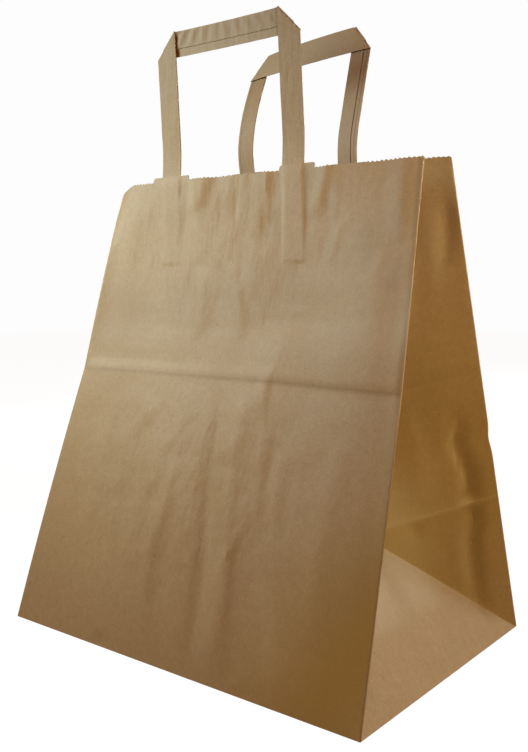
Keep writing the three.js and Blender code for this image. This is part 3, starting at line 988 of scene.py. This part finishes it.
def kraft_paper(name, shades, speck, scuff_and_highlight, stain_and_shade, roughness):
    """Unbleached kraft paper: cloudy, finely grained and nearly matt, scuffed pale at its folds,
    with painted shade, highlights and an olive tint of shade taken from the values on the points.
    """
    material = bpy.data.materials.new(name)
    material.use_nodes = True
    tree = material.node_tree
    paper = tree.nodes["Principled BSDF"]
    place = add_node(tree, "ShaderNodeTexCoord").outputs["Object"]
    cloud, formation, fibres, flecks = (
        add_node(tree, "ShaderNodeTexNoise",
                 {"Vector": place, "Scale": 1 / (size * MM), "Detail": detail}).outputs[0]
        for size, detail in ((CLOUD_MM, 4), (FORMATION_MM, 3), (FIBRE_MM, 3), (SPECK_MM, 1)))
    drawn_out = []
    for sizes in (GRAIN_MM, CRINKLE_MM):
        run = add_node(
            tree, "ShaderNodeMapping", {"Vector": place, "Scale": [1 / (size * MM) for size in sizes]})
        drawn_out.append(add_node(
            tree, "ShaderNodeTexNoise", {"Vector": run.outputs[0], "Scale": 1, "Detail": 2}).outputs[0])
    grain, crinkles = drawn_out

    # The pulp's tone, from light to dark
    tone = cloud
    for share, finer in ((FORMATION_SHARE, formation), (GRAIN_SHARE, grain), (FIBRE_SHARE, fibres)):
        tone = add_node(tree, "ShaderNodeMix", {0: share, 2: tone, 3: finer}).outputs[0]
    pulp = add_node(tree, "ShaderNodeValToRGB", {0: tone})
    stops = pulp.color_ramp.elements
    stops.new(PULP_STOPS[1])
    for stop, at, colour in zip(stops, PULP_STOPS, shades):
        stop.position = at
        stop.color = linear(colour)

    # Specks, what use has done to the paper, and painted shade, highlights and olive tint of shade
    few = add_node(
        tree, "ShaderNodeMapRange",
        {0: flecks, 1: SPECK_LIMITS[0], 2: SPECK_LIMITS[1], 3: 0, 4: SPECK_AMOUNT}).outputs[0]
    wear_and_highlight, dirt_and_shade, shade_tint, ruffled = (
        add_node(tree, "ShaderNodeAttribute", attribute_name=name).outputs["Fac"]
        for name in ("wear_and_highlight", "dirt_and_shade", "shade_tint", "ruffled"))
    colour = pulp.outputs[0]
    for amount, other in ((few, speck), (wear_and_highlight, scuff_and_highlight), (dirt_and_shade, stain_and_shade), (shade_tint, SHADE_TINT_COLOUR)):
        mixed = add_node(
            tree, "ShaderNodeMix", {0: amount, 6: colour, 7: linear(other)}, data_type="RGBA")
        colour = mixed.outputs[2]
    tree.links.new(colour, paper.inputs["Base Color"])

    # Fine relief everywhere, and crinkles where the paper is ruffled
    felt = add_node(tree, "ShaderNodeMath", {0: fibres, 1: formation}, operation="ADD")
    fine = add_node(
        tree, "ShaderNodeBump",
        {"Strength": FIBRE_BUMP, "Distance": FIBRE_BUMP_MM * MM, "Height": felt.outputs[0]})
    strength = add_node(
        tree, "ShaderNodeMapRange", {0: ruffled, 3: CRINKLE_BUMP[0], 4: CRINKLE_BUMP[1]})
    bump = add_node(
        tree, "ShaderNodeBump",
        {"Strength": strength.outputs[0], "Distance": CRINKLE_BUMP_MM * MM, "Height": crinkles,
         "Normal": fine.outputs[0]})
    tree.links.new(bump.outputs[0], paper.inputs["Normal"])
    paper.inputs["Roughness"].default_value = roughness
    paper.inputs["Specular IOR Level"].default_value = PAPER_SHEEN
    return material


# the scuff colour also paints highlights, and the stain colour also paints shade
sheet_paper = kraft_paper(
    "kraft_paper", shades=("#aa895f", "#b39167", "#bc9a70"), speck="#7d5f3c", scuff_and_highlight="#d2bc98",
    stain_and_shade="#6b4a14", roughness=0.5)
strip_paper = kraft_paper(
    "kraft_strip", shades=("#aa8b63", "#b3946d", "#bb9d77"), speck="#85683f", scuff_and_highlight="#cdb896",
    stain_and_shade="#6b3418", roughness=0.55)
print("materials:", sheet_paper.name, strip_paper.name)

# %% [markdown]
# ## A node tree for handled paper
#
# Paper that has been opened and carried is never flat: it has wide shallow dents and finer ripples,
# less of them close to a fold, which holds it stiff. These follow the surface and a rule, and so do
# the teeth of the mouth, so one Geometry Nodes tree makes them. It reads from the mesh how slack and
# how ruffled the paper is. The random numbers have a fixed seed, so the bag comes out the same each
# time.

# %% Build the tree
RIPPLE_RUN = (1, 1, 0.25)  # ripples are drawn out upwards, four times as long as they are wide
NOISE_MIDDLE, NOISE_DETAIL = 0.5, 2.0
TOOTH_LENGTHS = (0.7, 1.2)  # shortest and longest, as shares of the tooth height


def handled_paper_tree():
    """Dents and ripples along the normal, and teeth pulled up, on whatever paper it is given."""
    tree = bpy.data.node_groups.new("handled_paper", "GeometryNodeTree")
    tree.interface.new_socket("Geometry", in_out="OUTPUT", socket_type="NodeSocketGeometry")
    tree.interface.new_socket("Geometry", in_out="INPUT", socket_type="NodeSocketGeometry")
    for name in ("Dent Depth", "Dent Size", "Ripple Depth", "Ripple Size", "Tooth Height"):
        tree.interface.new_socket(name, in_out="INPUT", socket_type="NodeSocketFloat")
    tree.interface.new_socket("Seed", in_out="INPUT", socket_type="NodeSocketInt")
    tree.interface.new_socket("Paper", in_out="INPUT", socket_type="NodeSocketMaterial")
    given = add_node(tree, "NodeGroupInput").outputs
    position = add_node(tree, "GeometryNodeInputPosition").outputs[0]
    run = add_node(tree, "ShaderNodeVectorMath", {0: position, 1: RIPPLE_RUN}, operation="MULTIPLY")
    total = 0.0
    for kind, vector, where in (("Dent", position, "slack"), ("Ripple", run.outputs[0], "ruffled")):
        scale = add_node(tree, "ShaderNodeMath", {0: 1.0, 1: given[kind + " Size"]}, operation="DIVIDE")
        noise = add_node(
            tree, "ShaderNodeTexNoise",
            {"Vector": vector, "W": given["Seed"], "Scale": scale.outputs[0], "Detail": NOISE_DETAIL},
            noise_dimensions="4D")
        swing = add_node(
            tree, "ShaderNodeMath", {0: noise.outputs[0], 1: NOISE_MIDDLE}, operation="SUBTRACT")
        amount = add_node(tree, "GeometryNodeInputNamedAttribute", {"Name": where}, data_type="FLOAT")
        depth = add_node(
            tree, "ShaderNodeMath", {0: amount.outputs[0], 1: given[kind + " Depth"]}, operation="MULTIPLY")
        height = add_node(
            tree, "ShaderNodeMath", {0: swing.outputs[0], 1: depth.outputs[0], 2: total},
            operation="MULTIPLY_ADD")
        total = height.outputs[0]
    normal = add_node(tree, "GeometryNodeInputNormal").outputs[0]
    dents = add_node(
        tree, "ShaderNodeVectorMath", {0: normal, "Scale": total}, operation="SCALE")
    dented = add_node(
        tree, "GeometryNodeSetPosition", {"Geometry": given["Geometry"], "Offset": dents.outputs[0]})
    lengths = add_node(
        tree, "FunctionNodeRandomValue",
        {2: TOOTH_LENGTHS[0], 3: TOOTH_LENGTHS[1], "Seed": given["Seed"]}, data_type="FLOAT")
    tall = add_node(
        tree, "ShaderNodeMath", {0: lengths.outputs[1], 1: given["Tooth Height"]}, operation="MULTIPLY")
    upwards = add_node(
        tree, "GeometryNodeInputNamedAttribute", {"Name": "tooth_up"}, data_type="FLOAT_VECTOR")
    pull = add_node(
        tree, "ShaderNodeVectorMath", {0: upwards.outputs[0], "Scale": tall.outputs[0]}, operation="SCALE")
    toothed = add_node(
        tree, "GeometryNodeSetPosition", {"Geometry": dented.outputs[0], "Offset": pull.outputs[0]})
    realized = add_node(tree, "GeometryNodeRealizeInstances", {"Geometry": toothed.outputs[0]})
    finished = add_node(
        tree, "GeometryNodeSetMaterial", {"Geometry": realized.outputs[0], "Material": given["Paper"]})
    add_node(tree, "NodeGroupOutput", {0: finished.outputs[0]})
    return tree


handled_paper = handled_paper_tree()
print("nodes in the tree:", len(handled_paper.nodes))

# %% Put the tree on a piece and make the result a plain mesh
FOLD_ANGLE = math.radians(24)
SEED = 11


def finish_paper(piece, settings, thickness=0.0):
    """Runs the tree on a piece, gives the paper its thickness inwards, and keeps a plain mesh."""
    modifier = piece.modifiers.new("handled_paper", "NODES")
    modifier.node_group = handled_paper
    for socket in handled_paper.interface.items_tree:
        if socket.in_out == "INPUT" and socket.name in settings:
            modifier[socket.identifier] = settings[socket.name]
    if thickness:
        wall = piece.modifiers.new("thickness", "SOLIDIFY")
        wall.thickness = thickness * MM
        wall.offset = -1
    graph = bpy.context.evaluated_depsgraph_get()
    mesh = bpy.data.meshes.new_from_object(piece.evaluated_get(graph), depsgraph=graph)
    piece.modifiers.clear()
    piece.data = mesh
    mesh.shade_smooth()
    mesh.set_sharp_from_angle(angle=FOLD_ANGLE)
    triangles = sum(len(face.vertices) - 2 for face in mesh.polygons)
    print(piece.name, "triangles:", triangles, "material:", mesh.materials[0].name)


finish_paper(folded_sheet, {
    "Dent Depth": 3.5 * MM, "Dent Size": 110 * MM, "Ripple Depth": 3.6 * MM, "Ripple Size": 11 * MM,
    "Tooth Height": 1.0, "Seed": SEED, "Paper": sheet_paper,
}, thickness=PAPER)
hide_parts("bag_body")
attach(folded_sheet, "root")

# %% [markdown]
# ## The bottom flaps
#
# Under a block bottom, the ends of the front and rear panels are folded in and glued over each
# other. Only the two flaps show there, each with its free corners cut off at 45 degrees. They are
# thin plates in the small space between the base and the floor.

# %% Two glued flaps
FLAP_SIDE, FLAP_LAP, FLAP_CORNER = 4.0, 14.0, 22.0
PLY, FLAP_GAP = 0.3, 0.05
SAME_POINT = 0.01


def flap(side, low):
    """A flap that starts at the front or the rear fold and ends past the middle of the base."""
    wide = half_width - FLAP_SIDE
    fold_y, free_y = side * (half_depth - FLAP_SIDE), -side * FLAP_LAP
    inner_y = free_y + side * FLAP_CORNER
    outline = [(-wide, fold_y), (wide, fold_y), (wide, inner_y), (wide - FLAP_CORNER, free_y),
               (FLAP_CORNER - wide, free_y), (-wide, inner_y)]
    points = [(x, y, z) for z in (low, low + PLY) for x, y in outline]
    count = len(outline)
    walls = [(i, (i + 1) % count, (i + 1) % count + count, i + count) for i in range(count)]
    return points, [tuple(range(count)), tuple(range(count, 2 * count)), *walls]


def joined_parts(parts):
    points, polygons = [], []
    for more_points, more_polygons in parts:
        polygons += [tuple(i + len(points) for i in polygon) for polygon in more_polygons]
        points += list(more_points)
    return points, polygons


def face_outwards(piece):
    """Merges points that lie on each other, and turns every face of a closed mesh outwards."""
    mesh = bmesh.new()
    mesh.from_mesh(piece.data)
    bmesh.ops.remove_doubles(mesh, verts=mesh.verts[:], dist=SAME_POINT * MM)
    bmesh.ops.recalc_face_normals(mesh, faces=mesh.faces[:])
    mesh.to_mesh(piece.data)
    mesh.free()


bottom_flaps = new_object("bottom_flaps", *joined_parts([flap(1, 0.0), flap(-1, PLY + FLAP_GAP)]))
face_outwards(bottom_flaps)
bottom_flaps.data.materials.append(sheet_paper)
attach(bottom_flaps, "root")
print("flaps overlap by", 2 * FLAP_LAP, "mm")

# %% [markdown]
# ## The handles
#
# Each handle is one paper strip of several plies. It is folded over at 45 degrees at its two upper
# corners, so its bar lies behind its legs and shows the other face of the strip, with the lengthwise
# lap of the plies. The legs are glued behind the panel and follow it. A strip is a row of short
# crosswise lines, so the mesh is made from those: legs, half-round folds and bar in one run.

# %% Lines of a leg
FRONT_LOOP_HEIGHT, FRONT_LOOP_LEAN = 116.0, math.radians(-3)
REAR_LOOP_HEIGHT, REAR_LOOP_LEAN = 107.0, math.radians(11.5)
REAR_LOOP_DROP, REAR_LEG_BOW = 6.0, 5.0
BEND_LENGTH, LEG_STEPS, GLUE_STEPS, CORNER_STEPS = 26.0, 24, 16, 5
GLUE_GAP = 0.2
LEAN_LENGTH = 5.0  # the panel's lean is measured over this length below its mouth


def leg_lines(panel, inside, lean, height, place, outer, shift=None, bow=0.0):
    """Lines from the glued foot of a leg to its fold: outer end, inner end, side towards the inside."""
    lines = []
    depth = PAPER + GLUE_GAP + STRIP / 2
    ends = np.array((outer, -outer)) * STRIP_WIDTH / 2
    for v in np.linspace(LEG_FOOT, SHEET_HEIGHT, GLUE_STEPS):
        aside = shift(v) if shift else 0.0
        first, second = (panel(np.array(place + aside + end), np.array(v)) for end in ends)
        below, over = (panel(np.array(place + aside), np.array(v + h)) for h in (-1, 1))
        facing = np.cross(over - below, second - first)
        facing = unit(facing * inside * np.sign(facing[1]))
        lines.append((first + facing * depth, second + facing * depth, facing))
    first, second, facing = lines[-1]
    across = unit(second - first)
    panel_up = unit(panel(np.array(place), mouth) - panel(np.array(place), mouth - LEAN_LENGTH))
    loop_up = np.array((0, math.sin(lean), math.cos(lean)))
    loop_up = unit(loop_up - across * loop_up.dot(across))
    middle = (first + second) / 2
    step = (height - STRIP_WIDTH) / LEG_STEPS
    for i in range(1, LEG_STEPS + 1):
        turned = np.clip(((i - 0.5) * step - TAB_RISE) / BEND_LENGTH, 0, 1)
        up = unit(panel_up + (loop_up - panel_up) * turned)
        middle = middle + up * step
        bowed = middle - (0, bow * math.sin(math.pi * i / LEG_STEPS), 0)
        facing = np.cross(up, across)
        facing = unit(facing * inside * np.sign(facing[1]))
        lines.append((bowed - across * STRIP_WIDTH / 2, bowed + across * STRIP_WIDTH / 2, facing))
    first, second, facing = lines[-1]
    for i in range(1, CORNER_STEPS + 1):
        lines.append((first, second + up * STRIP_WIDTH * i / CORNER_STEPS, facing))
    return lines


front_left_leg, front_right_leg = (
    leg_lines(front_panel, 1, FRONT_LOOP_LEAN, FRONT_LOOP_HEIGHT, place, outer, shift=leg_shift)
    for place, outer in zip(front_legs, (-1, 1)))
rear_left_leg = leg_lines(
    rear_panel, -1, REAR_LOOP_LEAN, REAR_LOOP_HEIGHT - REAR_LOOP_DROP, rear_legs[0], -1, bow=REAR_LEG_BOW)
rear_right_leg = leg_lines(rear_panel, -1, REAR_LOOP_LEAN, REAR_LOOP_HEIGHT, rear_legs[1], 1)
print("lines of a leg:", len(front_left_leg))

# %% Folds and bar
FOLD_STEPS, BAR_STEPS = 6, 72
PLY_GAP = 0.3
BAR_BOW = 2.2


def fold_lines(end, away):
    """The half-round fold of a corner, from the leg's ply to the bar's ply behind it."""
    first, second, facing = end
    radius = (STRIP + PLY_GAP) / 2
    lines = []
    for angle in np.linspace(0, math.pi, FOLD_STEPS + 1)[1:]:
        offset = away * radius * math.sin(angle) + facing * radius * (1 - math.cos(angle))
        turned = facing * math.cos(angle) + away * math.sin(angle)
        lines.append((first + offset, second + offset, turned))
    return lines


def strip_lines(left_leg, right_leg):
    """All lines of one handle, from the foot of its left leg to the foot of its right leg."""
    folds = []
    for leg in (left_leg, right_leg):
        first, second, facing = leg[-1]
        line = unit(second - first)
        inner = unit(leg[-1][1] - leg[-2][1])
        away = unit(np.cross(line, facing))
        away = away * np.sign(away.dot(inner))
        folds.append(fold_lines(leg[-1], away))
    start, end = folds[0][-1], folds[1][-1]
    shares = np.linspace(0, 1, BAR_STEPS + 1)[1:-1]
    bar = []
    for share in shares:
        first, second, facing = (a + (b - a) * share for a, b in zip(start, end))
        bow = -facing * BAR_BOW * math.sqrt(math.sin(math.pi * share))
        bar.append((first + bow, second + bow, facing))
    lines = left_leg + folds[0] + bar + folds[1][::-1] + right_leg[::-1]
    along = np.full(len(lines), -1.0)
    first_bar = len(left_leg) + len(folds[0])
    along[first_bar:first_bar + len(bar)] = shares
    return lines, along, left_leg[-1][1], right_leg[-1][1]


print("lines of a handle:", len(strip_lines(front_left_leg, front_right_leg)[0]))

# %% The strip's two faces
# the seam line is a glued joint with painted shadow under the lap's edge, and the line at EDGE_SHARE on the
# legs is painted shadow under a lifted ply edge
SEAM_SHARE = 0.32
EDGE_SHARE = 0.14
SEAM_TONE, BAR_SEAM_TONE = 0.65, 0.3
STRIP_SHARES = (
    0, 0.03, 0.07, 0.12, 0.138, 0.142, 0.16, 0.22, 0.285, 0.305, 0.318, 0.322, 0.335,
    0.45, 0.56, 0.67, 0.78, 0.89, 0.97, 1)
ON_LINE = 0.003  # a share this close to a seam is on it
LAP_STEP = 0.45
# the gathers' tone is painted shade in their troughs
GATHERS, GATHER_SLANT, GATHER_DEPTH, GATHER_SHADE = 10.5, 0.25, 0.32, 0.06
# the strip's edges are worn pale, and the bar is paler all over
EDGE_WORN, BAR_PALE = 0.2, 0.3
# painted contact shadow where the legs cover the ends of the bar
CONTACT_SHADOW, CONTACT_REACHES = 0.8, (1.2, 3.6)


def strip_mesh(lines, along, left_end, right_end):
    """A closed strip: a plain face, and a face with a lap and, on the bar, small gathers.

    The bar is paler. Painted shadow darkens it in the narrow gaps where the legs cover its ends,
    painted shade lies in the troughs of its gathers, and its seam shows painted shadow too.
    """
    points, wear_and_highlight, dirt_and_shade = [], [], []
    for (first, second, facing), share_along in zip(lines, along):
        bar_paleness = BAR_PALE if share_along >= 0 else 0.0
        for share in STRIP_SHARES:
            points.append(first + (second - first) * share - facing * STRIP / 2)
            wear_and_highlight.append(max(bar_paleness, EDGE_WORN) if share in (0, 1) else bar_paleness)
            dirt_and_shade.append(0.0)
        for share in STRIP_SHARES[::-1]:
            lift, dark = LAP_STEP * (share > SEAM_SHARE), 0.0
            if share_along >= 0 and share > SEAM_SHARE:
                wave = math.sin(2 * math.pi * (GATHERS * share_along + GATHER_SLANT * share))
                wave *= math.sqrt(math.sin(math.pi * (share - SEAM_SHARE) / (1 - SEAM_SHARE)))
                lift += GATHER_DEPTH * wave
                # painted shade in the troughs of the gathers
                dark = GATHER_SHADE * max(0.0, -wave)
            place = first + (second - first) * share
            # painted shadow in the gaps where the legs cover the bar's ends
            if share_along >= 0:
                way = unit(right_end - left_end)
                for end, reach in zip((left_end, right_end), CONTACT_REACHES):
                    dark = max(dark, CONTACT_SHADOW * (1 - abs((place - end).dot(way)) / reach))
            points.append(place + facing * (STRIP / 2 + lift))
            wear_and_highlight.append(max(bar_paleness, EDGE_WORN) if share in (0, 1) else bar_paleness)
            # the seam: a glued joint with painted shadow; on the legs also a painted shadow under a ply
            # edge
            on_seam = abs(share - SEAM_SHARE) < ON_LINE
            on_edge = share_along < 0 and abs(share - EDGE_SHARE) < ON_LINE
            line = SEAM_TONE if share_along < 0 else BAR_SEAM_TONE
            dirt_and_shade.append(max(line, dark) if on_seam or on_edge else dark)
    ring = 2 * len(STRIP_SHARES)
    polygons = [tuple(range(ring)), tuple(range((len(lines) - 1) * ring, len(lines) * ring))]
    for i in range(len(lines) - 1):
        for k in range(ring):
            a, b = i * ring + k, i * ring + (k + 1) % ring
            polygons.append((a, b, b + ring, a + ring))
    return points, polygons, wear_and_highlight, dirt_and_shade


def make_handle(name, node, left_leg, right_leg, darkened=0.0):
    """One handle strip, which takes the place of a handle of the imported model."""
    points, polygons, wear_and_highlight, dirt_and_shade = strip_mesh(*strip_lines(left_leg, right_leg))
    handle = new_object(name, points, polygons)
    add_values(handle, "wear_and_highlight", wear_and_highlight)
    add_values(handle, "dirt_and_shade", np.add(dirt_and_shade, darkened))
    add_values(handle, "slack", np.ones(len(points)))
    add_values(handle, "ruffled", np.ones(len(points)))
    face_outwards(handle)
    finish_paper(handle, {
        "Dent Depth": 0.5 * MM, "Dent Size": 22 * MM, "Ripple Depth": 0.15 * MM, "Ripple Size": 5 * MM,
        "Tooth Height": 0.0, "Seed": SEED, "Paper": strip_paper,
    })
    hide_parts(node)
    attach(handle, "root")


make_handle("front_handle_strip", "front_handle", front_left_leg, front_right_leg)
# the rear strip is made darker all over
make_handle("rear_handle_strip", "rear_handle", rear_left_leg, rear_right_leg, darkened=0.2)

# %% [markdown]
# ## Floor and light
#
# The bag stands on a plain pale floor. A soft key light stands to the left of the camera, above the
# bag, and lights the front. Five others light the right gusset, the paper beside the mouth, the base
# triangle, the left side and the rear. The camera sees the room and the floor as plain near-white,
# but the bag itself gets only a dim warm light from the room.

# %% The floor
FLOOR_SIZE = 6.0
FLOOR_DROP = 0.1  # so that no face of the bag lies in the same plane
FLOOR_GLOW = 0.96


def studio_floor():
    """Matt pale floor paint. The camera sees it evenly bright, and it throws little light back."""
    material = bpy.data.materials.new("matt_floor_paint")
    material.use_nodes = True
    tree = material.node_tree
    tree.nodes.clear()
    dim = add_node(tree, "ShaderNodeBsdfDiffuse", {"Color": linear("#a39a90")})
    shaded = add_node(tree, "ShaderNodeBsdfDiffuse", {"Color": linear("#5a5856")})
    bright = add_node(tree, "ShaderNodeEmission", {"Color": linear("#ffffff"), "Strength": FLOOR_GLOW})
    pale = add_node(tree, "ShaderNodeAddShader", {0: shaded.outputs[0], 1: bright.outputs[0]})
    seen = add_node(tree, "ShaderNodeLightPath").outputs["Is Camera Ray"]
    mixed = add_node(tree, "ShaderNodeMixShader", {0: seen, 1: dim.outputs[0], 2: pale.outputs[0]})
    add_node(tree, "ShaderNodeOutputMaterial", {"Surface": mixed.outputs[0]})
    return material


half_floor = FLOOR_SIZE / 2 / MM
corners = [(x * half_floor, y * half_floor, -FLOOR_DROP) for x, y in ((-1, -1), (1, -1), (1, 1), (-1, 1))]
floor = new_object("floor", corners, [(0, 1, 2, 3)])
floor.data.materials.append(studio_floor())
print("floor in metres:", FLOOR_SIZE)


# %% The lights and the room
def soft_light(name, place, target, size, power, colour, spread=180):
    """A square softbox, in metres and watts. A spread below 180 is a honeycomb that narrows it."""
    light = bpy.data.lights.new(name, "AREA")
    light.shape = "SQUARE"
    light.size = size
    light.spread = math.radians(spread)
    light.energy = power
    light.color = linear(colour)[:3]
    lamp = bpy.data.objects.new(name, light)
    lamp.location = place
    lamp.rotation_euler = (Vector(target) - Vector(place)).to_track_quat("-Z", "Y").to_euler()
    lamp.visible_camera = False
    bpy.context.scene.collection.objects.link(lamp)


soft_light("key_light", (-0.56, -0.46, 0.58), (-0.13, -0.02, 0.28), 0.32, 1.02, "#e3feff", spread=64)
soft_light("right_fill", (0.90, 0.04, 0.32), (0.12, 0.02, 0.22), 0.4, 1.68, "#ffee33")
soft_light("mouth_light", (0.80, -0.12, 0.50), (0.13, 0.04, 0.33), 0.22, 0.10, "#fffbe6", spread=24)
soft_light("top_light", (0.45, 0.30, 0.95), (0.14, 0.00, 0.03), 0.35, 0.80, "#b6d5ff", spread=50)
soft_light("left_fill", (-1.20, 0.38, 0.45), (-0.15, 0.03, 0.22), 0.3, 2.2, "#dcecff")
soft_light("rear_fill", (-0.40, 1.50, 0.90), (0.00, 0.00, 0.20), 0.8, 9.0, "#eef6ff")

world = bpy.data.worlds.new("studio")
world.use_nodes = True
bpy.context.scene.world = world
room = world.node_tree
seen = add_node(room, "ShaderNodeLightPath").outputs["Is Camera Ray"]
shown = add_node(
    room, "ShaderNodeMix", {0: seen, 6: linear("#895319"), 7: linear("#fdfdfd")}, data_type="RGBA")
room.links.new(shown.outputs[2], room.nodes["Background"].inputs["Color"])
bpy.context.scene.view_settings.view_transform = "Standard"
